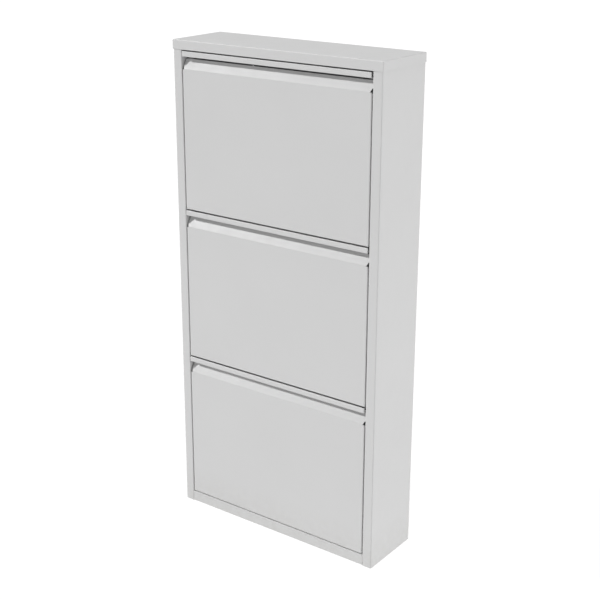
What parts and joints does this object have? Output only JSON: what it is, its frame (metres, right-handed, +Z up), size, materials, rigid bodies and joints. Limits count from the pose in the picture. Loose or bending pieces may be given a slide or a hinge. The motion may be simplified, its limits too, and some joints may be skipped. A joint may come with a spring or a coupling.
{
  "type": "shoe cabinet",
  "caption": "Slim upright sheet-steel shoe cabinet with tip-out flaps. Each flap has a sloping finger grip at its top and carries a folded shoe pocket.",
  "frame": {"origin": "on the floor, at the middle of the footprint", "axes": "+Z up, +X to the right as seen from the front, flaps facing -Y, back to the wall at +Y"},
  "size_m": [0.5, 0.15, 1.03],
  "materials": {
    "powder_coat": "light warm white powder coat, semi-matt, faint orange peel",
    "powder_coat_inner": "the same powder coat, thinner and more matt inside",
    "zinc_steel": "bright zinc plate",
    "nylon": "natural white nylon",
    "rubber": "matt black rubber"
  },
  "bodies": {
    "carcass": {"side_panel_left": "powder_coat", "side_panel_right": "powder_coat", "top_cover": "powder_coat", "base_panel": "powder_coat", "back_panel": "powder_coat_inner", "cross_rail_lower": "powder_coat", "rail_bumper_lower_left": "rubber", "rail_screw_lower_left": "zinc_steel", "pivot_bush_lower_left": "nylon", "rail_bumper_lower_right": "rubber", "rail_screw_lower_right": "zinc_steel", "pivot_bush_lower_right": "nylon", "cross_rail_middle": "powder_coat", "rail_bumper_middle_left": "rubber", "rail_screw_middle_left": "zinc_steel", "pivot_bush_middle_left": "nylon", "rail_bumper_middle_right": "rubber", "rail_screw_middle_right": "zinc_steel", "pivot_bush_middle_right": "nylon", "cross_rail_upper": "powder_coat", "rail_bumper_upper_left": "rubber", "rail_screw_upper_left": "zinc_steel", "pivot_bush_upper_left": "nylon", "rail_bumper_upper_right": "rubber", "rail_screw_upper_right": "zinc_steel", "pivot_bush_upper_right": "nylon", "foot_glide_front_left": "nylon", "foot_glide_front_right": "nylon", "foot_glide_rear_left": "nylon", "foot_glide_rear_right": "nylon"},
    "flap_lower": {"flap_panel_lower": "powder_coat", "pocket_sheet_lower": "powder_coat_inner", "pocket_cheek_lower_left": "powder_coat_inner", "pivot_pin_lower_left": "zinc_steel", "stop_stud_lower_left": "zinc_steel", "stop_sleeve_lower_left": "rubber", "pocket_cheek_lower_right": "powder_coat_inner", "pivot_pin_lower_right": "zinc_steel", "stop_stud_lower_right": "zinc_steel", "stop_sleeve_lower_right": "rubber"},
    "flap_middle": {"flap_panel_middle": "powder_coat", "pocket_sheet_middle": "powder_coat_inner", "pocket_cheek_middle_left": "powder_coat_inner", "pivot_pin_middle_left": "zinc_steel", "stop_stud_middle_left": "zinc_steel", "stop_sleeve_middle_left": "rubber", "pocket_cheek_middle_right": "powder_coat_inner", "pivot_pin_middle_right": "zinc_steel", "stop_stud_middle_right": "zinc_steel", "stop_sleeve_middle_right": "rubber"},
    "flap_upper": {"flap_panel_upper": "powder_coat", "pocket_sheet_upper": "powder_coat_inner", "pocket_cheek_upper_left": "powder_coat_inner", "pivot_pin_upper_left": "zinc_steel", "stop_stud_upper_left": "zinc_steel", "stop_sleeve_upper_left": "rubber", "pocket_cheek_upper_right": "powder_coat_inner", "pivot_pin_upper_right": "zinc_steel", "stop_stud_upper_right": "zinc_steel", "stop_sleeve_upper_right": "rubber"}
  },
  "joints": [
    {"name": "flap_lower_tilt", "type": "hinge", "parent": "carcass", "child": "flap_lower", "pos_m": [0, -0.065, 0.0413], "axis": [1, 0, 0], "range_deg": [0, 40]},
    {"name": "flap_middle_tilt", "type": "hinge", "parent": "carcass", "child": "flap_middle", "pos_m": [0, -0.065, 0.3693], "axis": [1, 0, 0], "range_deg": [0, 40]},
    {"name": "flap_upper_tilt", "type": "hinge", "parent": "carcass", "child": "flap_upper", "pos_m": [0, -0.065, 0.6973], "axis": [1, 0, 0], "range_deg": [0, 40]}
  ]
}
